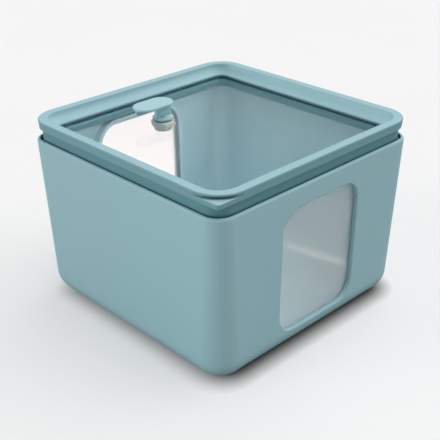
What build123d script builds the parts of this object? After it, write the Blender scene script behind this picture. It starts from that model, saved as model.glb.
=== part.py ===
from build123d import *
import math
import os

os.makedirs("parts", exist_ok=True)

# A square dough proofing box: a tapered tub with a window in its front and rear walls, and a lift-off
# lid with a clear pane, a corner lift tab and a small turning lever that opens an air vent.
# Millimetres, +Z up. The origin is the middle of the footprint, at the level that the box stands on.
# The front window faces -Y, and the lift tab is over the corner between -X and -Y.

# Tub: the outline is a square of these half widths with round corners, at the base and at the rim
rim_height = 157.5
base_half = 118.0
rim_half = 121.0
base_corner = 25.0
rim_corner = 17.0
wall = 3.0
floor_thickness = 3.5
sole_corner = 3.0
rim_outer_round = 2.0
rim_flat = 0.3

# Ledge inside the tub that carries the lid
ledge_lap = 2.3

# Feet: four round pads set in the underside
foot_radius = 9.0
foot_inset = 38.0
foot_proud = 0.8
foot_recess = 1.2
foot_round = 0.4

# Windows
window_width = 95.0
window_low = 21.5
window_drop = 18.5
window_corner = 19.0
window_mouth_round = 1.2
window_land = 4.0
window_gasket_thickness = 0.6
window_gasket_inset = 1.0
window_pane_thickness = 2.4
window_lap = 4.0
bezel_thickness = 2.4
bezel_flange_thickness = 1.0
bezel_flare = 2.4
pocket_wall = 2.0
bezel_edge_round = 0.6
rear_window_lift = 4.0

# Lid frame
lid_overhang = 0.9
lid_corner = 26.0
lid_reveal = 11.0
lid_height = 8.0
lid_undercut = 0.8
lid_rim_width = 8.7
lid_rim_round = 1.2
lid_rim_inner_round = 0.8
lid_skin = 4.2
dish_run = 8.8
dish_drop = 8.8
dish_flat = 0.4
dish_lip = 1.4
dish_relief = 2.8
opening_round = 0.3
channel_width = 2.6
channel_roof = 2.6
joint_rise = 1.8
tab_thickness = 4.2
tab_tip_radius = 3.0
tab_round = 0.5
grip_corner_growth = 6.0
grip_lip = 1.5

# Lid underside
band_gap = 1.0
band_corner = 17.0
band_thickness = 4.2
plug_depth = 7.5
seat_flange = 2.4
seal_height = 3.2
seal_depth = 1.6
seal_foot = 1.4
seal_lip_round = 0.8

# Lid pane
pane_thickness = 3.0
gasket_upper_lip = 1.8
gasket_lower_lip = 0.8
gasket_setback = 0.4
gasket_web = 1.4

# Air vent: everything turns about or sits round one upright axis
vent_x = -19.4
vent_y = 55.1
spindle_radius = 2.0
boss_flange = 2.1
boss_edge = 1.4
boss_rise = 2.9
neck_radius = 7.5
neck_past_nut = 1.0
vent_washer_thickness = 0.6
vent_washer_inset = 1.0
nut_wall = 2.7
nut_height = 4.0
nut_sides = 6
nut_round = 0.6
port_radius = 0.75
port_wall = 0.4
port_angles = (45.0, 225.0)
vent_travel = 90.0
shutter_lap = 0.7
shutter_thickness = 2.0
shutter_round = 0.4
shutter_seal_thickness = 0.8
shutter_seal_inset = 0.3
clip_lap = 2.2
clip_thickness = 0.8
clip_groove_depth = 0.6
clip_mouth = 2.8
spindle_tail = 1.2
spindle_chamfer = 0.4
o_ring_radius = 0.6
o_ring_share = 0.5

# Vent lever: a flat finger plate on an upright web, which widens into a hub over the axis
lever_rise = 17.5
lever_width = 22.8
lever_reach = 18.0
lever_setback = 2.2
lever_thickness = 2.0
lever_top_round = 0.8
keel_thickness = 3.2
keel_drop = 4.7
keel_setback = 0.2
hub_inset = 0.6
hub_width = 6.4
hub_bore_roof = 1.2

# Clearances
seat_gap = 0.3
fit_gap = 0.2
snug_gap = 0.05
turn_gap = 0.05
overrun = 1.0
hair = 0.001

# Sizes and heights that follow from the sizes above
base_round = base_corner - sole_corner
rim_inner_round = wall - rim_outer_round - rim_flat
foot_reach = base_half - foot_inset
window_high = rim_height - window_drop
floor_top = foot_proud + floor_thickness
lid_half = rim_half + lid_overhang
band_half = rim_half - wall - band_gap
dish_half = lid_half - lid_rim_width
opening_half = dish_half - dish_run
draft = math.degrees(math.atan2(rim_half - base_half, rim_height - foot_proud))
lid_low = rim_height + lid_reveal
lid_top = lid_low + lid_height
joint_top = lid_low + joint_rise
dish_floor = lid_top - dish_drop
dish_low = dish_floor - dish_lip
pane_top = dish_low - gasket_upper_lip
pane_low = pane_top - pane_thickness
seat_top = pane_low - gasket_lower_lip
seat_low = seat_top - seat_flange
gasket_inset = band_thickness + fit_gap
pane_inset = gasket_inset + gasket_web
plug_low = rim_height - plug_depth
ledge_top = plug_low - seat_gap
channel_outer = lid_half - lid_skin
channel_inner = channel_outer - channel_width
channel_top = lid_top - channel_roof


def wall_share(height):
    """How far up the tapered wall a height lies, from 0 at the base to 1 at the rim."""
    return (height - foot_proud) / (rim_height - foot_proud)


def tub_outline(height, inset):
    """Half width and corner radius of the tub's wall at a height, drawn in by an inset."""
    share = wall_share(height)
    half = base_half + (rim_half - base_half) * share
    corner = base_corner + (rim_corner - base_corner) * share
    return half - inset, corner - inset


def lid_outline(half):
    """An outline parallel to the lid's outer edge, at a smaller half width."""
    return half, lid_corner - (lid_half - half)


def band_outline(inset):
    """The outline of the band that enters the tub, drawn in by an inset."""
    return band_half - inset, band_corner - inset


def rounded_square(outline):
    half, corner = outline
    return RectangleRounded(2 * half, 2 * half, corner)


def slab(outline, low, high):
    """A plate of one outline between two heights."""
    return Pos(0, 0, low) * extrude(rounded_square(outline), high - low)


def square_ring(outer, inner, low, high):
    """A frame between two outlines and two heights."""
    return slab(outer, low, high) - slab(inner, low, high)


def tapered_slab(low_outline, high_outline, low, high):
    """A plate whose straight walls run from one outline to another."""
    sections = [Pos(0, 0, low) * rounded_square(low_outline), Pos(0, 0, high) * rounded_square(high_outline)]
    return loft(sections, ruled=True)


def disc(radius, low, high):
    """A disc on the vent's axis between two heights."""
    return Pos(vent_x, vent_y, low) * extrude(Circle(radius), high - low)


def washer(outer, inner, low, high):
    return disc(outer, low, high) - disc(inner, low - overrun, high + overrun)


def level_face(part, height):
    """The largest flat face that lies at a height."""
    level = part.faces().filter_by(Plane.XY).filter_by_position(Axis.Z, height - hair, height + hair)
    return level.sort_by(SortBy.AREA)[-1]


def round_outer_loop(part, height, radius):
    return fillet(level_face(part, height).outer_wire().edges(), radius)


def round_inner_loop(part, height, radius):
    return fillet(level_face(part, height).inner_wires()[0].edges(), radius)


# Tub: one injection moulding, its floor and walls joined by large rounds
sides = ("front", "rear")


def window_frame(side):
    """The wall's outer face at the middle of a window: X along the wall, Y up it, Z outwards."""
    facing = -1 if side == "front" else 1
    lift = 0 if side == "front" else rear_window_lift
    middle = (window_low + window_high) / 2 + lift
    half, corner = tub_outline(middle, 0)
    lean = math.radians(draft)
    outward = (0, facing * math.cos(lean), -math.sin(lean))
    return Plane(origin=(0, facing * half, middle), x_dir=(-facing, 0, 0), z_dir=outward)


def wall_plate(side, grow, near, far):
    """A plate of the window's shape, grown all round, between two depths behind the wall's face."""
    height = window_high - window_low
    shape = RectangleRounded(window_width + 2 * grow, height + 2 * grow, window_corner + grow)
    return window_frame(side).location * (Pos(0, 0, -far) * extrude(shape, far - near))


window_pane_depth = window_land + window_gasket_thickness
bezel_depth = window_pane_depth + window_pane_thickness
bezel_back = bezel_depth + bezel_thickness
pocket_back = bezel_back - bezel_flange_thickness
pocket_grow = window_lap + fit_gap
surround_grow = pocket_grow + pocket_wall


def make_tub():
    outside = tapered_slab(tub_outline(foot_proud, 0), tub_outline(rim_height, 0), foot_proud, rim_height)
    outside = fillet(level_face(outside, foot_proud).edges(), base_round)
    inside = tapered_slab(tub_outline(floor_top, wall), tub_outline(rim_height, wall), floor_top, rim_height)
    inside = fillet(level_face(inside, floor_top).edges(), base_round - wall)
    tub = outside - inside
    for side in sides:
        tub += wall_plate(side, surround_grow, wall - overrun, pocket_back)
    tub += make_ledge()
    for side in sides:
        tub -= wall_plate(side, 0, -overrun, window_land + overrun)
        tub -= wall_plate(side, pocket_grow, window_land, pocket_back + overrun)
        tub = round_mouth(tub, side)
    for x, y in foot_places():
        tub -= Pos(x, y, 0) * extrude(Circle(foot_radius + snug_gap), foot_proud + foot_recess)
    tub = round_outer_loop(tub, rim_height, rim_outer_round)
    return round_inner_loop(tub, rim_height, rim_inner_round)


def round_mouth(tub, side):
    """The tub with the outer edge of one window rounded."""
    frame = window_frame(side)
    half_width = window_width / 2
    half_height = (window_high - window_low) / 2

    def at_mouth(edge):
        place = frame.to_local_coords(edge.center())
        inside = abs(place.X) < half_width + hair and abs(place.Y) < half_height + hair
        return inside and abs(place.Z) < hair

    return fillet(tub.edges().filter_by(at_mouth), window_mouth_round)


def make_ledge():
    """A narrow shelf round the inside of the wall, flat on top and sloped below."""
    inner_half, inner_corner = band_outline(ledge_lap)
    wall_half, wall_corner = tub_outline(ledge_top, wall)
    low = ledge_top - (wall_half - inner_half)
    block = slab(tub_outline(low, wall - overrun), low, ledge_top)
    hollow = tapered_slab((wall_half, wall_corner), (inner_half, inner_corner), low, ledge_top)
    return block - hollow


def foot_places():
    return [(x * foot_reach, y * foot_reach) for x in (-1, 1) for y in (-1, 1)]


# Window parts: a pane pressed outwards against a gasket by a retaining frame from inside
def make_window_gasket(side):
    """A flat ring between the land and the pane, kept back from the opening's edge."""
    ring = wall_plate(side, window_lap, window_land, window_pane_depth)
    return ring - wall_plate(side, window_gasket_inset, window_land - overrun, window_pane_depth + overrun)


def make_window_pane(side):
    return wall_plate(side, window_lap, window_pane_depth, bezel_depth)


def make_window_bezel(side):
    """A frame that fills the pocket behind the pane, with a thin flange over the pocket's wall."""
    frame = wall_plate(side, window_lap, bezel_depth, bezel_back)
    frame += wall_plate(side, surround_grow, pocket_back, bezel_back)
    frame -= wall_plate(side, bezel_flare, bezel_depth - overrun, bezel_back + overrun)
    outward = Axis(window_frame(side).origin, window_frame(side).z_dir)
    return fillet(frame.faces().sort_by(outward)[0].edges(), bezel_edge_round)


def make_foot_pads():
    """Four soft pads, each one sitting in its recess and standing a little proud of the base."""
    pads = []
    for x, y in foot_places():
        pad = extrude(Circle(foot_radius), foot_proud + foot_recess)
        pad = fillet(level_face(pad, 0).edges(), foot_round)
        pads.append(Pos(x, y, 0) * pad)
    return Compound(children=pads)


# Lid frame: the visible moulding, with a flat rim round a coved dish, hollow under the rim
def side_half(height):
    """Half width of the frame's outer side, which leans outwards on its way up to the rim."""
    return lid_half - lid_undercut * (lid_top - height) / lid_height


def make_lid_top():
    frame = tapered_slab(lid_outline(side_half(lid_low)), lid_outline(lid_half), lid_low, lid_top)
    frame = round_outer_loop(frame, lid_top, lid_rim_round)
    frame -= make_grip()
    frame += make_lift_tab()
    outside = lid_outline(channel_outer)
    frame -= slab(outside, lid_low - overrun, joint_top)
    frame -= square_ring(outside, lid_outline(channel_inner), joint_top - overrun, channel_top)
    frame += make_dish_lip()
    frame -= make_dish()
    frame = round_inner_loop(frame, lid_top, lid_rim_inner_round)
    frame -= slab(lid_outline(opening_half), dish_low - overrun, lid_top)
    return round_inner_loop(frame, dish_floor, opening_round)


def make_dish_lip():
    """The part of the frame that reaches down inside the band to the pane's gasket."""
    lip = slab(band_outline(gasket_inset), dish_low, joint_top + overrun)
    return chamfer(level_face(lip, dish_low).edges(), dish_relief)


def make_dish():
    """The hollow inside the rim: a short upright wall that curves in to a level edge at the pane."""
    hollow = slab(lid_outline(dish_half), dish_floor, lid_top + overrun)
    return fillet(level_face(hollow, dish_floor).edges(), dish_drop - dish_flat)


tab_top = lid_low + tab_thickness


def near_corner(low, high):
    """The block over the corner that carries the lift tab, out to where the frame's round corner ends."""
    quarter = Box(lid_corner, lid_corner, high - low, align=Align.MIN)
    return Pos(-lid_half, -lid_half, low) * quarter


def make_lift_tab():
    """A finger tab that fills the square corner outside the frame's round corner."""
    foot = (side_half(lid_low), tab_tip_radius)
    head = (side_half(tab_top), tab_tip_radius)
    block = tapered_slab(foot, head, lid_low, tab_top)
    block = fillet(level_face(block, tab_top).edges(), tab_round)
    block &= near_corner(lid_low, tab_top)
    return block - slab(lid_outline(channel_outer), lid_low - overrun, tab_top + overrun)


def make_grip():
    """A hollow between the rim and the tab for a fingertip, deepest in the middle and nothing at its ends."""
    high = lid_top - grip_lip
    inside = (lid_half, lid_corner + grip_corner_growth)
    return near_corner(tab_top, high) - slab(inside, tab_top, high)


# Lid underside: a plug that enters the tub, a flange that carries the pane, and a tongue
def make_lid_bottom():
    band_inside = band_outline(band_thickness)
    tongue_outside = lid_outline(channel_outer - fit_gap)
    tongue_inside = lid_outline(channel_inner + fit_gap)
    frame = square_ring(band_outline(0), band_inside, plug_low, lid_low)
    frame += square_ring(tongue_outside, band_inside, lid_low, joint_top)
    frame += square_ring(tongue_outside, tongue_inside, lid_low, channel_top)
    frame += square_ring(band_outline(0), lid_outline(opening_half), seat_low, seat_top)
    groove = square_ring(band_outline(-overrun), band_outline(seal_depth), seal_low, seal_low + seal_height)
    return frame - groove


seal_low = plug_low + seal_foot


def make_lid_seal():
    """A silicone ring in the plug's groove, its outer edge just clear of the tub's wall."""
    outside = tub_outline(seal_low, wall + seat_gap)
    ring = square_ring(outside, band_outline(seal_depth), seal_low, seal_low + seal_height)
    edges = level_face(ring, seal_low + seal_height).outer_wire().edges()
    edges += level_face(ring, seal_low).outer_wire().edges()
    return fillet(edges, seal_lip_round)


def make_pane_gasket():
    """A channel of soft rubber round the pane's edge, with a lip above and a lip below."""
    inside = lid_outline(opening_half + gasket_setback)
    ring = square_ring(band_outline(gasket_inset), inside, seat_top, dish_low)
    return ring - slab(band_outline(pane_inset - snug_gap), pane_low, pane_top)


def make_lid_pane():
    pane = slab(band_outline(pane_inset), pane_low, pane_top)
    return pane - disc(neck_radius + fit_gap, pane_low - overrun, pane_top + overrun)


# Air vent: a boss with a neck through the pane, held by a nut, and a shutter that turns below it
boss_radius = neck_radius + boss_flange
nut_flat_radius = neck_radius + nut_wall
port_circle = neck_radius - port_wall - port_radius
shutter_radius = neck_radius + shutter_lap
clip_radius = spindle_radius + clip_lap
hub_length = 2 * (boss_radius - hub_inset)
boss_low = pane_top + vent_washer_thickness
boss_top = boss_low + boss_edge + boss_rise
nut_top = pane_low - vent_washer_thickness
nut_low = nut_top - nut_height
neck_low = nut_low - neck_past_nut
shutter_seal_top = neck_low - turn_gap
shutter_top = shutter_seal_top - shutter_seal_thickness
shutter_low = shutter_top - shutter_thickness
clip_top = shutter_low - turn_gap
clip_low = clip_top - clip_thickness
spindle_low = clip_low - spindle_tail
lever_top = pane_top + lever_rise
lever_low = lever_top - lever_thickness
spindle_top = lever_low - hub_bore_roof


def dome(low, gap):
    """The boss's outside: a short upright edge and a low cap, grown upwards and outwards by a gap."""
    radius = boss_radius + gap
    edge_top = boss_low + boss_edge + gap
    outline = Polyline((0, edge_top + boss_rise), (0, low), (radius, low), (radius, edge_top))
    crown = ThreePointArc((radius, edge_top), crown_point(radius, edge_top), (0, edge_top + boss_rise))
    half_section = Plane.XZ * make_face(outline.edges() + crown.edges())
    return Pos(vent_x, vent_y, 0) * revolve(half_section, Axis.Z)


def crown_point(radius, edge_top):
    """The middle point of the arc that rises from the edge to the top of the cap."""
    ball = (radius**2 + boss_rise**2) / (2 * boss_rise)
    half_angle = math.asin(radius / ball) / 2
    centre_height = edge_top + boss_rise - ball
    return ball * math.sin(half_angle), centre_height + ball * math.cos(half_angle)


def ports(angles, low, high):
    """Round air holes on the port circle."""
    return Pos(vent_x, vent_y, low) * extrude(Sketch() + port_places(angles), high - low)


def port_places(angles):
    places = []
    for angle in angles:
        turn = math.radians(angle)
        x = port_circle * math.cos(turn)
        y = port_circle * math.sin(turn)
        places.append(Pos(x, y) * Circle(port_radius))
    return places


def closed_angles():
    """Where the shutter's holes are while the vent is shut: a full travel short of the boss's holes."""
    return [angle - vent_travel for angle in port_angles]


def make_vent_boss():
    boss = dome(boss_low, 0) + disc(neck_radius, neck_low, boss_low + boss_edge)
    boss -= disc(spindle_radius + turn_gap, neck_low - overrun, boss_top + overrun)
    return boss - ports(port_angles, neck_low - overrun, boss_top + overrun)


def make_vent_washer(low):
    return washer(boss_radius - vent_washer_inset, neck_radius + fit_gap, low, low + vent_washer_thickness)


def make_vent_nut():
    corner_radius = nut_flat_radius / math.cos(math.pi / nut_sides)
    nut = Pos(vent_x, vent_y, nut_low) * extrude(RegularPolygon(corner_radius, nut_sides), nut_height)
    nut -= disc(neck_radius + snug_gap, nut_low - overrun, nut_top + overrun)
    return fillet(level_face(nut, nut_low).outer_wire().edges(), nut_round)


def make_spindle():
    """The shaft that joins the lever to the shutter, with one groove for the O-ring and one for the clip."""
    shaft = disc(spindle_radius, spindle_low, spindle_top)
    shaft = chamfer(level_face(shaft, spindle_low).edges(), spindle_chamfer)
    groove_radius = spindle_radius - clip_groove_depth
    shaft -= washer(spindle_radius + overrun, groove_radius, clip_low, clip_top)
    return shaft - o_ring(o_ring_radius + snug_gap)


def o_ring(section):
    """A ring round the spindle, inside the boss's bore."""
    height = neck_low + (boss_top - neck_low) * o_ring_share
    reach = spindle_radius + turn_gap - snug_gap - o_ring_radius
    return Pos(vent_x, vent_y, height) * Torus(reach, section)


def make_shutter():
    shutter = disc(shutter_radius, shutter_low, shutter_top)
    shutter = fillet(level_face(shutter, shutter_low).edges(), shutter_round)
    shutter -= disc(spindle_radius, shutter_low - overrun, shutter_top + overrun)
    return shutter - ports(closed_angles(), shutter_low - overrun, shutter_top + overrun)


def make_shutter_seal():
    outer = neck_radius - shutter_seal_inset
    seal = washer(outer, spindle_radius, shutter_top, shutter_seal_top)
    return seal - ports(closed_angles(), shutter_top - overrun, shutter_seal_top + overrun)


def make_clip():
    """A snap ring with an open mouth, in the spindle's groove below the shutter."""
    ring = washer(clip_radius, spindle_radius - clip_groove_depth, clip_low, clip_top)
    mouth = Box(clip_radius + overrun, clip_mouth, clip_thickness, align=(Align.MIN, Align.CENTER, Align.MIN))
    return ring - Pos(vent_x, vent_y, clip_low) * mouth


def bar(start, length, width, low, high):
    """A round-ended bar that runs from one end centre, a start short of the vent's axis, towards -X."""
    shape = Pos(vent_x - start - length / 2, vent_y) * SlotCenterToCenter(length, width)
    return Pos(0, 0, low) * extrude(shape, high - low)


def make_lever():
    plate = bar(lever_setback, lever_reach, lever_width, lever_low, lever_top)
    plate = fillet(level_face(plate, lever_top).edges(), lever_top_round)
    middle = lever_low + lever_thickness / 2
    keel_reach = lever_setback + lever_reach + lever_width / 2 - keel_setback - keel_thickness / 2
    keel = bar(0, keel_reach, keel_thickness, lever_low - keel_drop, middle)
    hub = SlotOverall(hub_length, hub_width)
    hub = Pos(vent_x, vent_y, boss_low) * extrude(hub, middle - boss_low)
    lever = plate + keel + hub
    lever -= dome(boss_low - overrun, seat_gap)
    return lever - disc(spindle_radius + snug_gap, boss_low, spindle_top)


# One file for each piece
pieces = {
    "container_body": make_tub(),
    "foot_pads": make_foot_pads(),
    "lid_top_frame": make_lid_top(),
    "lid_bottom_frame": make_lid_bottom(),
    "lid_seal": make_lid_seal(),
    "lid_pane": make_lid_pane(),
    "lid_pane_gasket": make_pane_gasket(),
    "vent_boss": make_vent_boss(),
    "vent_upper_washer": make_vent_washer(pane_top),
    "vent_lower_washer": make_vent_washer(nut_top),
    "vent_nut": make_vent_nut(),
    "vent_lever": make_lever(),
    "vent_spindle": make_spindle(),
    "vent_o_ring": o_ring(o_ring_radius),
    "vent_shutter": make_shutter(),
    "vent_shutter_seal": make_shutter_seal(),
    "vent_retaining_clip": make_clip(),
}
for side in sides:
    pieces[side + "_window_pane"] = make_window_pane(side)
    pieces[side + "_window_gasket"] = make_window_gasket(side)
    pieces[side + "_window_bezel"] = make_window_bezel(side)

for name, piece in pieces.items():
    export_step(piece, "parts/" + name + ".step")
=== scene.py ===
import math

import bpy
from mathutils import Matrix, Vector

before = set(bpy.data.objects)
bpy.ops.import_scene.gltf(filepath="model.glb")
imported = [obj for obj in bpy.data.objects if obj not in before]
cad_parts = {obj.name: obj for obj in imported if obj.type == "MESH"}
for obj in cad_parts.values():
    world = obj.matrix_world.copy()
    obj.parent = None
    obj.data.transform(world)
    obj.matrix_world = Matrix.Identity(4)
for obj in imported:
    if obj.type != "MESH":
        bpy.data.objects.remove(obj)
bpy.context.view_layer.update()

# The view: a camera about 0.82 m from the box that looks down on it by 27 degrees, as the photograph was
# taken. The three axes of the camera are given, so that no target has to be aimed at.
camera_place = (-0.5143, -0.5260, 0.4541)
camera_right = (0.7133, -0.7008, -0.0068)
camera_up = (0.3271, 0.3243, 0.8877)
camera_back = (-0.6199, -0.6354, 0.4605)
sensor_width = 36.0
focal_length = 72.12

camera_data = bpy.data.cameras.new("camera")
camera_data.sensor_width = sensor_width
camera_data.lens = focal_length
camera = bpy.data.objects.new("camera", camera_data)
bpy.context.scene.collection.objects.link(camera)
turn = Matrix((camera_right, camera_up, camera_back)).transposed().to_4x4()
camera.matrix_world = Matrix.Translation(camera_place) @ turn
bpy.context.scene.camera = camera
bpy.context.scene.view_settings.view_transform = "Standard"


# The light: a white tent, which is the world, and two large soft lamps, one nearly level at the left and
# behind, one high at the right and a little in front. The left wall gets more than the right one, and the
# corner between them least. What lights the inside is raised by what the panes take, most from the right.
tent_strength = 0.46
tent_seen = 0.9
tent_inside = 3.0
inside_tilt = 2.9
brighter_side = (0.707, -0.707, 0.0)
no_mirror_below = 0.5
lamps = {
    "left_lamp": {"energy": 1.6, "spread": math.radians(30), "towards": (-0.86, 0.50, 0.08)},
    "right_lamp": {"energy": 1.85, "spread": math.radians(85), "towards": (0.50, -0.24, 0.83)},
}


def linear(code):
    """Turns an sRGB hex colour into the linear colour that Blender's sockets hold."""
    parts = [int(code[i:i + 2], 16) / 255 for i in (1, 3, 5)]
    return tuple(c / 12.92 if c <= 0.04045 else ((c + 0.055) / 1.055) ** 2.4 for c in parts) + (1.0,)


def add_node(tree, kind, inputs=None, **settings):
    """Adds a node. A setting is a property; an input is a value, or a node and the name of its output."""
    made = tree.nodes.new(kind)
    for name, value in settings.items():
        setattr(made, name, value)
    for name, value in (inputs or {}).items():
        if isinstance(value, tuple) and isinstance(value[0], bpy.types.Node):
            tree.links.new(value[0].outputs[value[1]], made.inputs[name])
        else:
            made.inputs[name].default_value = value
    return made


def pane_ray(tree):
    """A node that is 1 for a ray that came through a pane and wasn't mirrored before."""
    ray = add_node(tree, "ShaderNodeLightPath")
    straight = add_node(tree, "ShaderNodeMath",
                        {0: (ray, "Glossy Depth"), 1: no_mirror_below}, operation="LESS_THAN")
    return add_node(tree, "ShaderNodeMath", {0: (ray, "Is Transmission Ray"), 1: (straight, "Value")},
                    operation="MULTIPLY")


def picture_ray(tree):
    """A node that is 1 for a ray that shows something in the picture, straight or through a pane."""
    ray = add_node(tree, "ShaderNodeLightPath")
    return add_node(tree, "ShaderNodeMath", {0: (ray, "Is Camera Ray"), 1: (pane_ray(tree), "Value")},
                    operation="MAXIMUM")


def white_tent():
    """The world: even white. It is nearly white where it is seen, plain as a light, and stronger for light
    that has come through a pane to a face inside the box, the more so towards the brighter side."""
    made = bpy.data.worlds.new("white_tent")
    made.use_nodes = True
    tree = made.node_tree
    tree.nodes.clear()
    level = add_node(tree, "ShaderNodeMapRange",
                     {"Value": (picture_ray(tree), "Value"), "To Min": tent_strength, "To Max": tent_seen})
    bounces = add_node(tree, "ShaderNodeLightPath")
    from_inside = add_node(tree, "ShaderNodeMath",
                           {0: (bounces, "Diffuse Depth"), 1: (pane_ray(tree), "Value")}, operation="MINIMUM")
    sky_place = add_node(tree, "ShaderNodeTexCoord")
    sideways = add_node(tree, "ShaderNodeVectorMath", {0: (sky_place, "Generated"), 1: brighter_side},
                        operation="DOT_PRODUCT")
    inside_level = add_node(tree, "ShaderNodeMath",
                            {0: (sideways, "Value"), 1: inside_tilt, 2: tent_inside},
                            operation="MULTIPLY_ADD")
    gain = add_node(tree, "ShaderNodeMapRange",
                    {"Value": (from_inside, "Value"), "To Min": 1.0, "To Max": (inside_level, "Value")})
    strength = add_node(tree, "ShaderNodeMath", {0: (level, "Result"), 1: (gain, "Result")},
                        operation="MULTIPLY")
    sky = add_node(tree, "ShaderNodeBackground",
                   {"Color": linear("#ffffff"), "Strength": (strength, "Value")})
    add_node(tree, "ShaderNodeOutputWorld", {"Surface": (sky, "Background")})
    return made


bpy.context.scene.world = white_tent()

for name, lamp in lamps.items():
    light = bpy.data.lights.new(name, "SUN")
    light.energy = lamp["energy"]
    light.angle = lamp["spread"]
    holder = bpy.data.objects.new(name, light)
    holder.rotation_mode = "QUATERNION"
    holder.rotation_quaternion = Vector(lamp["towards"]).to_track_quat("Z", "Y")
    bpy.context.scene.collection.objects.link(holder)


# The floor: a wide sheet of white paper, lit a little from below. In the picture it is nearly white, with
# the box's shadow, but it throws only half of its light back on the box, as a smaller sheet would. Close
# to the box a painted shadow darkens it, less so at the sides that the left lamp reaches.
floor_reach = 6.0
floor_drop = 0.0002
floor_white = linear("#f7f7f7")
floor_cloud = linear("#f4f4f5")
floor_bounce = linear("#adadac")
floor_cloud_size = 0.4
floor_glow = 0.42
contact_reach = 0.017
contact_painted_shadow_darkest = 0.22
contact_fade = 0.6
contact_side = (-0.45, 0.45, 0.77)
behind_glow = 1.3


def new_material(name):
    """A new material with an empty node tree, and that tree."""
    made = bpy.data.materials.new(name)
    made.use_nodes = True
    made.node_tree.nodes.clear()
    return made, made.node_tree


def paper():
    """Matt white paper with faint clouds, with painted shadow where the box leaves little open sky towards
    its lit side. Rays that don't end up in the picture see it a light grey, and through a pane it is plain
    white."""
    made, tree = new_material("white_paper")
    coords = add_node(tree, "ShaderNodeTexCoord")
    cloud = add_node(tree, "ShaderNodeTexNoise",
                     {"Vector": (coords, "Object"), "Scale": 1 / floor_cloud_size})
    tone = add_node(tree, "ShaderNodeMix", {0: (cloud, "Fac"), 6: floor_white, 7: floor_cloud},
                    data_type="RGBA")
    seen = picture_ray(tree)
    colour = add_node(tree, "ShaderNodeMix", {0: (seen, "Value"), 6: floor_bounce, 7: (tone, 2)},
                      data_type="RGBA")
    # Painted shadow: ambient occlusion, tilted towards the lit side, darkens the paper's colour near the box.
    lit_side = add_node(tree, "ShaderNodeCombineXYZ", dict(zip("XYZ", contact_side)))
    near = add_node(tree, "ShaderNodeAmbientOcclusion",
                    {"Distance": contact_reach, "Normal": (lit_side, "Vector")})
    open_part = add_node(tree, "ShaderNodeMapRange", {"Value": (near, "AO"), "From Min": contact_painted_shadow_darkest})
    open_share = add_node(tree, "ShaderNodeMath", {0: (open_part, "Result"), 1: contact_fade},
                          operation="POWER")
    shown = add_node(tree, "ShaderNodeMix", {0: 1.0, 6: (colour, 2), 7: (open_share, "Value")},
                     data_type="RGBA", blend_type="MULTIPLY")
    sheet = add_node(tree, "ShaderNodeBsdfDiffuse", {"Color": (shown, 2)})
    glow = add_node(tree, "ShaderNodeEmission", {"Color": (shown, 2)})
    part = add_node(tree, "ShaderNodeMath", {0: (seen, "Value"), 1: floor_glow}, operation="MULTIPLY")
    mixed = add_node(tree, "ShaderNodeMixShader",
                     {0: (part, "Value"), 1: (sheet, "BSDF"), 2: (glow, "Emission")})
    behind = add_node(tree, "ShaderNodeEmission", {"Strength": behind_glow})
    final = add_node(tree, "ShaderNodeMixShader",
                     {0: (pane_ray(tree), "Value"), 1: (mixed, "Shader"), 2: (behind, "Emission")})
    add_node(tree, "ShaderNodeOutputMaterial", {"Surface": (final, "Shader")})
    return made


floor_mesh = bpy.data.meshes.new("paper_floor")
corners = [(x * floor_reach, y * floor_reach, -floor_drop) for x, y in ((-1, -1), (1, -1), (1, 1), (-1, 1))]
floor_mesh.from_pydata(corners, [], [(0, 1, 2, 3)])
floor_mesh.materials.append(paper())
floor = bpy.data.objects.new("paper_floor", floor_mesh)
bpy.context.scene.collection.objects.link(floor)


# The tub: one injection moulding in teal polypropylene, 3 mm thick. Its walls lean out so that it leaves
# the tool, which has a fine spark-eroded grain. The grain is drawn a few times coarser than it is, so that
# it shows. Narrow slots between the pieces are darkened with painted shade.
shell_colour = linear("#9dc6cf")
shell_roughness = 0.48
plastic_index = 1.49
grain_size = 0.0006
grain_depth = 0.00003
grain_strength = 0.6
grain_detail = 2.0
grain_break = 0.6
flow_size = 0.07
flow_detail = 3.0
flow_gloss_swing = 0.05
flow_tone_swing = 0.015
gap_reach = 0.005
gap_open = 0.7
gap_painted_shade_darkest = 0.02
level_only = (1.0, 1.0, 0.0)
side_starts = 0.35
side_full = 0.6


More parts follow.
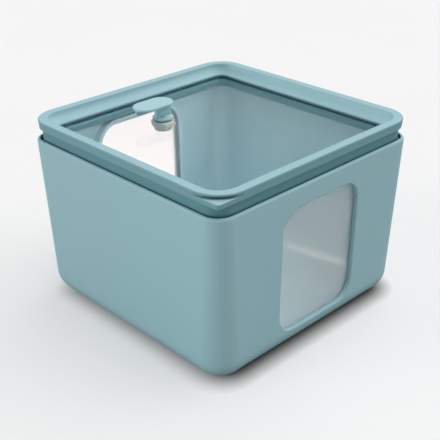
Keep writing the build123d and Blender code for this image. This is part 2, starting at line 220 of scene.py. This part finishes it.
def moulded_polypropylene(name, colour, roughness, painted_side_shade=None, darkest=gap_painted_shade_darkest):
    """Satin plastic. The grain spreads its gloss softly, slow flow marks keep it from looking flat, and
    painted shade darkens it in slots a few millimetres wide. A side shade colour is painted shade on faces
    that look away from the middle of the box."""
    made, tree = new_material(name)
    coords = add_node(tree, "ShaderNodeTexCoord")
    grain = add_node(tree, "ShaderNodeTexNoise",
                     {"Vector": (coords, "Object"), "Scale": 1 / grain_size, "Detail": grain_detail,
                      "Roughness": grain_break})
    flow = add_node(tree, "ShaderNodeTexNoise",
                    {"Vector": (coords, "Object"), "Scale": 1 / flow_size, "Detail": flow_detail})
    bump = add_node(tree, "ShaderNodeBump",
                    {"Height": (grain, "Fac"), "Strength": grain_strength, "Distance": grain_depth})
    worn = add_node(tree, "ShaderNodeMapRange",
                    {"Value": (flow, "Fac"), "To Min": roughness - flow_gloss_swing,
                     "To Max": roughness + flow_gloss_swing})
    shade = add_node(tree, "ShaderNodeMapRange",
                     {"Value": (flow, "Fac"), "To Min": 1 - flow_tone_swing, "To Max": 1 + flow_tone_swing})
    # Painted shade: faces that look outward from the box's middle are mixed towards a darker side colour.
    if painted_side_shade:
        level_place = add_node(tree, "ShaderNodeVectorMath", {0: (coords, "Object"), 1: level_only},
                               operation="MULTIPLY")
        outward = add_node(tree, "ShaderNodeVectorMath", {0: (level_place, "Vector")}, operation="NORMALIZE")
        facing = add_node(tree, "ShaderNodeVectorMath", {0: (outward, "Vector"), 1: (coords, "Normal")},
                          operation="DOT_PRODUCT")
        side = add_node(tree, "ShaderNodeMapRange",
                        {"Value": (facing, "Value"), "From Min": side_starts, "From Max": side_full})
        colour = (add_node(tree, "ShaderNodeMix", {0: (side, "Result"), 6: colour, 7: painted_side_shade},
                           data_type="RGBA"), 2)
    # Painted shade: ambient occlusion darkens the colour in slots a few millimetres wide.
    near = add_node(tree, "ShaderNodeAmbientOcclusion", {"Distance": gap_reach})
    open_share = add_node(tree, "ShaderNodeMapRange",
                          {"Value": (near, "AO"), "From Max": gap_open, "To Min": darkest})
    tone_with_painted_shade = add_node(tree, "ShaderNodeMath", {0: (shade, "Result"), 1: (open_share, "Result")},
                     operation="MULTIPLY")
    tone = add_node(tree, "ShaderNodeHueSaturation", {"Color": colour, "Value": (tone_with_painted_shade, "Value")})
    shader = add_node(tree, "ShaderNodeBsdfPrincipled",
                      {"Base Color": (tone, "Color"), "Roughness": (worn, "Result"),
                       "Normal": (bump, "Normal"), "IOR": plastic_index})
    add_node(tree, "ShaderNodeOutputMaterial", {"Surface": (shader, "BSDF")})
    return made


def finish_node(name, material):
    """Gives a CAD node one material over its whole surface."""
    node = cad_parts[name]
    node.data.materials.clear()
    node.data.materials.append(material)


finish_node("container_body", moulded_polypropylene("polypropylene_shell", shell_colour, shell_roughness))


# The foot pads: four discs stamped from grey-green silicone sheet and glued into the underside.
# The sheet is matt and gathers a little pale dust.
pad_colour = linear("#4a6268")
rubber_roughness = 0.7
rubber_index = 1.41
rubber_sheen = 0.15
dust_colour = linear("#8fa0a3")
dust_size = 0.004
dust_detail = 4.0
dust_starts = 0.45
dust_full = 0.85
dust_most = 0.3


def silicone(name, colour):
    """Soft matt rubber. Pale dust in patches lifts its dark colour here and there."""
    made, tree = new_material(name)
    coords = add_node(tree, "ShaderNodeTexCoord")
    patches = add_node(tree, "ShaderNodeTexNoise",
                       {"Vector": (coords, "Object"), "Scale": 1 / dust_size, "Detail": dust_detail})
    share = add_node(tree, "ShaderNodeMapRange",
                     {"Value": (patches, "Fac"), "From Min": dust_starts, "From Max": dust_full,
                      "To Max": dust_most})
    tone = add_node(tree, "ShaderNodeMix", {0: (share, "Result"), 6: colour, 7: dust_colour},
                    data_type="RGBA")
    shader = add_node(tree, "ShaderNodeBsdfPrincipled",
                      {"Base Color": (tone, 2), "Roughness": rubber_roughness, "IOR": rubber_index,
                       "Sheen Weight": rubber_sheen})
    add_node(tree, "ShaderNodeOutputMaterial", {"Surface": (shader, "BSDF")})
    return made


finish_node("foot_pads", silicone("silicone_pads", pad_colour))


# The windows: a pane moulded in hazy polycarbonate is laid on a thin flat gasket in the wall's pocket and
# held by a pressed-in bezel in the shell's plastic. The front pane is milky and hides all but light and
# shade behind it, the rear one is nearly clear.
window_looks = {
    "front": {"tint": linear("#e9ebeb"), "milk": linear("#dcdddd"), "haze": 0.22},
    "rear": {"tint": linear("#fcf9f9"), "milk": linear("#fcf9f9"), "haze": 0.02},
}
haze_roughness = 0.28
haze_index = 1.4
haze_streak = 0.06
streak_width = 0.035
streak_slant = math.radians(30)
streak_stretch = 0.15
streak_detail = 2.0
streak_starts = 0.3
streak_full = 0.7
# A painted highlight: a whiter line of milk across the pane along a slanting plane.
painted_highlight_share = 0.8
painted_highlight_width = 0.006
painted_highlight_strength = 0.65
painted_highlight_normal = (0.527, 0.0, 0.850)
painted_highlight_place = 0.0695
window_rubber_colour = linear("#a3d2db")
no_gap_shade = 1.0


def through_light(tree, shader, colour, index):
    """The shader as it is seen. Light that falls through it is tinted, and loses what the face mirrors."""
    mirrored = add_node(tree, "ShaderNodeFresnel", {"IOR": index})
    kept = add_node(tree, "ShaderNodeMix", {0: (mirrored, "Fac"), 6: colour, 7: linear("#000000")},
                    data_type="RGBA")
    tint = add_node(tree, "ShaderNodeBsdfTransparent", {"Color": (kept, 2)})
    ray = add_node(tree, "ShaderNodeLightPath")
    mixed = add_node(tree, "ShaderNodeMixShader", {0: (ray, "Is Shadow Ray"), 1: shader, 2: (tint, "BSDF")})
    add_node(tree, "ShaderNodeOutputMaterial", {"Surface": (mixed, "Shader")})


def hazy_polycarbonate(name, colour, milk_colour, haze):
    """Milky clear plastic. Faint slanting streaks of denser milk show how it flowed into the mould, and one
    brighter line is a painted highlight: whiter milk that falls off with the distance from a slanting plane."""
    made, tree = new_material(name)
    coords = add_node(tree, "ShaderNodeTexCoord")
    slant = add_node(tree, "ShaderNodeMapping",
                     {"Vector": (coords, "Object"), "Rotation": (0.0, streak_slant, 0.0),
                      "Scale": (1 / streak_width, 1.0, streak_stretch / streak_width)})
    streaks = add_node(tree, "ShaderNodeTexNoise",
                       {"Vector": (slant, "Vector"), "Scale": 1.0, "Detail": streak_detail})
    share = add_node(tree, "ShaderNodeMapRange",
                     {"Value": (streaks, "Fac"), "From Min": streak_starts, "From Max": streak_full,
                      "To Min": haze, "To Max": haze + haze_streak})
    clear = add_node(tree, "ShaderNodeBsdfPrincipled",
                     {"Base Color": colour, "Roughness": haze_roughness, "IOR": haze_index,
                      "Transmission Weight": 1.0})
    # Painted highlight: the milk turns whiter and denser near the slanting plane.
    height = add_node(tree, "ShaderNodeVectorMath", {0: (coords, "Object"), 1: painted_highlight_normal},
                      operation="DOT_PRODUCT")
    away = add_node(tree, "ShaderNodeMath", {0: (height, "Value"), 1: painted_highlight_place}, operation="SUBTRACT")
    distance = add_node(tree, "ShaderNodeMath", {0: (away, "Value")}, operation="ABSOLUTE")
    painted_highlight = add_node(tree, "ShaderNodeMapRange",
                    {"Value": (distance, "Value"), "From Max": painted_highlight_width, "To Min": painted_highlight_strength,
                     "To Max": 0.0}, interpolation_type="SMOOTHSTEP")
    whole = add_node(tree, "ShaderNodeMath",
                     {0: (painted_highlight, "Result"), 1: haze * painted_highlight_share, 2: (share, "Result")},
                     operation="MULTIPLY_ADD")
    milk_tone = add_node(tree, "ShaderNodeMix", {0: (painted_highlight, "Result"), 6: milk_colour, 7: linear("#ffffff")},
                         data_type="RGBA")
    milk = add_node(tree, "ShaderNodeBsdfDiffuse", {"Color": (milk_tone, 2)})
    mixed = add_node(tree, "ShaderNodeMixShader",
                     {0: (whole, "Value"), 1: (clear, "BSDF"), 2: (milk, "BSDF")})
    through_light(tree, (mixed, "Shader"), colour, haze_index)
    return made


window_rubber = silicone("silicone_window_gasket", window_rubber_colour)
bezel_plastic = moulded_polypropylene("polypropylene_bezel", shell_colour, shell_roughness,
                                      darkest=no_gap_shade)
for side, look in window_looks.items():
    hazy_plastic = hazy_polycarbonate("polycarbonate_" + side, look["tint"], look["milk"], look["haze"])
    finish_node(side + "_window_pane", hazy_plastic)
    finish_node(side + "_window_gasket", window_rubber)
    finish_node(side + "_window_bezel", bezel_plastic)


# The lid's frame: an upper moulding with the rim, the coved dish and the lift tab, and a lower one with
# the plug and the pane's seat, welded into each other. The upper one is the tub's teal, with painted shade
# darkening its outer sides; the lower one is painted a darker teal as shade. Both come from a duller tool.
lid_colour = linear("#9dc6cf")
lid_roughness = 0.5
# The rim's side colour is painted shade on its outer sides.
rim_painted_side_shade = linear("#77a5ad")
# The lower frame's darker teal is painted shade.
band_painted_shade_colour = linear("#5e949e")

rim_plastic = moulded_polypropylene("polypropylene_rim_painted_side_shade", lid_colour, lid_roughness, rim_painted_side_shade)
finish_node("lid_top_frame", rim_plastic)
finish_node("lid_bottom_frame", moulded_polypropylene("polypropylene_band_painted_shade", band_painted_shade_colour, lid_roughness))


# The lid's rubber: a moulded seal in the plug's groove, and a channel that is slipped on the pane's
# edge before it is laid on its seat. Both are dark silicone, and the channel is the line at the opening.
lid_rubber_colour = linear("#547d87")

lid_rubber = silicone("silicone_lid", lid_rubber_colour)
finish_node("lid_seal", lid_rubber)
finish_node("lid_pane_gasket", lid_rubber)


# The lid's pane: a 3 mm sheet of clear acrylic with one drilled hole for the vent.
# It is polished, and wiping has left a faint pattern of dull patches in the gloss.
acrylic_colour = linear("#fffcfb")
acrylic_index = 1.3
polished_roughness = 0.01
wiped_roughness = 0.06
wipe_size = 0.03
wipe_detail = 3.0
wipe_starts = 0.4
wipe_full = 0.8


def clear_acrylic():
    """Clear plastic. Its gloss is sharp but for faint wiped patches, where the view through softens."""
    made, tree = new_material("clear_acrylic")
    coords = add_node(tree, "ShaderNodeTexCoord")
    wipes = add_node(tree, "ShaderNodeTexNoise",
                     {"Vector": (coords, "Object"), "Scale": 1 / wipe_size, "Detail": wipe_detail})
    dull = add_node(tree, "ShaderNodeMapRange",
                    {"Value": (wipes, "Fac"), "From Min": wipe_starts, "From Max": wipe_full,
                     "To Min": polished_roughness, "To Max": wiped_roughness})
    shader = add_node(tree, "ShaderNodeBsdfPrincipled",
                      {"Base Color": acrylic_colour, "Roughness": (dull, "Result"), "IOR": acrylic_index,
                       "Transmission Weight": 1.0})
    through_light(tree, (shader, "BSDF"), acrylic_colour, acrylic_index)
    return made


finish_node("lid_pane", clear_acrylic())


# The air vent's fixed parts: a boss in a slightly lighter teal than the lid's, which is painted light, is
# pushed down through the pane with a soft washer on each side, and a white nylon nut is screwed on its neck
# from below.
vent_painted_light_colour = linear("#abd3db")
vent_rubber_colour = linear("#d3dddd")
nylon_colour = linear("#fafaf8")
nylon_cloud_colour = linear("#f4f5f0")
nylon_cloud_size = 0.004
nylon_cloud_detail = 3.0
nylon_roughness = 0.42
nylon_index = 1.53
nylon_through = 0.75


def nylon():
    """Natural nylon: off-white and cloudy where it cooled slowly. Three quarters of the light that meets it
    goes on through it, so that it is bright against a window."""
    made, tree = new_material("white_nylon")
    coords = add_node(tree, "ShaderNodeTexCoord")
    cloud = add_node(tree, "ShaderNodeTexNoise",
                     {"Vector": (coords, "Object"), "Scale": 1 / nylon_cloud_size,
                      "Detail": nylon_cloud_detail})
    tone = add_node(tree, "ShaderNodeMix", {0: (cloud, "Fac"), 6: nylon_colour, 7: nylon_cloud_colour},
                    data_type="RGBA")
    front = add_node(tree, "ShaderNodeBsdfPrincipled",
                     {"Base Color": (tone, 2), "Roughness": nylon_roughness, "IOR": nylon_index})
    through = add_node(tree, "ShaderNodeBsdfTranslucent", {"Color": (tone, 2)})
    mixed = add_node(tree, "ShaderNodeMixShader",
                     {0: nylon_through, 1: (front, "BSDF"), 2: (through, "BSDF")})
    add_node(tree, "ShaderNodeOutputMaterial", {"Surface": (mixed, "Shader")})
    return made


vent_painted_light_plastic = moulded_polypropylene("polypropylene_vent_painted_light", vent_painted_light_colour, lid_roughness)
vent_rubber = silicone("silicone_vent", vent_rubber_colour)
white_nylon = nylon()
finish_node("vent_boss", vent_painted_light_plastic)
finish_node("vent_upper_washer", vent_rubber)
finish_node("vent_lower_washer", vent_rubber)
finish_node("vent_nut", white_nylon)


# The air vent's turning parts: the lever is pressed on a nylon spindle, which runs down through the boss
# with an O-ring round it, and carries the shutter and its soft disc, held by a sprung steel clip.
steel_colour = linear("#b9bcbe")
steel_smooth = 0.25
steel_dull = 0.45
steel_pull = 0.4
brush_size = 0.0002
brush_stretch = 0.02
brush_detail = 2.0


def spring_steel():
    """Bare spring steel with fine rolling lines along X, which stretch its gloss across them. The lines
    are drawn coarser than they are, so that they show."""
    made, tree = new_material("spring_steel")
    coords = add_node(tree, "ShaderNodeTexCoord")
    lines = add_node(tree, "ShaderNodeMapping",
                     {"Vector": (coords, "Object"),
                      "Scale": (brush_stretch / brush_size, 1 / brush_size, 1 / brush_size)})
    brush = add_node(tree, "ShaderNodeTexNoise",
                     {"Vector": (lines, "Vector"), "Scale": 1.0, "Detail": brush_detail})
    dull = add_node(tree, "ShaderNodeMapRange",
                    {"Value": (brush, "Fac"), "To Min": steel_smooth, "To Max": steel_dull})
    shader = add_node(tree, "ShaderNodeBsdfPrincipled",
                      {"Base Color": steel_colour, "Metallic": 1.0, "Roughness": (dull, "Result"),
                       "Anisotropic": steel_pull})
    add_node(tree, "ShaderNodeOutputMaterial", {"Surface": (shader, "BSDF")})
    return made


# The lever takes the vent's lighter teal too, which is painted light.
finish_node("vent_lever", vent_painted_light_plastic)
finish_node("vent_spindle", white_nylon)
finish_node("vent_o_ring", lid_rubber)
finish_node("vent_shutter", white_nylon)
finish_node("vent_shutter_seal", vent_rubber)
finish_node("vent_retaining_clip", spring_steel())
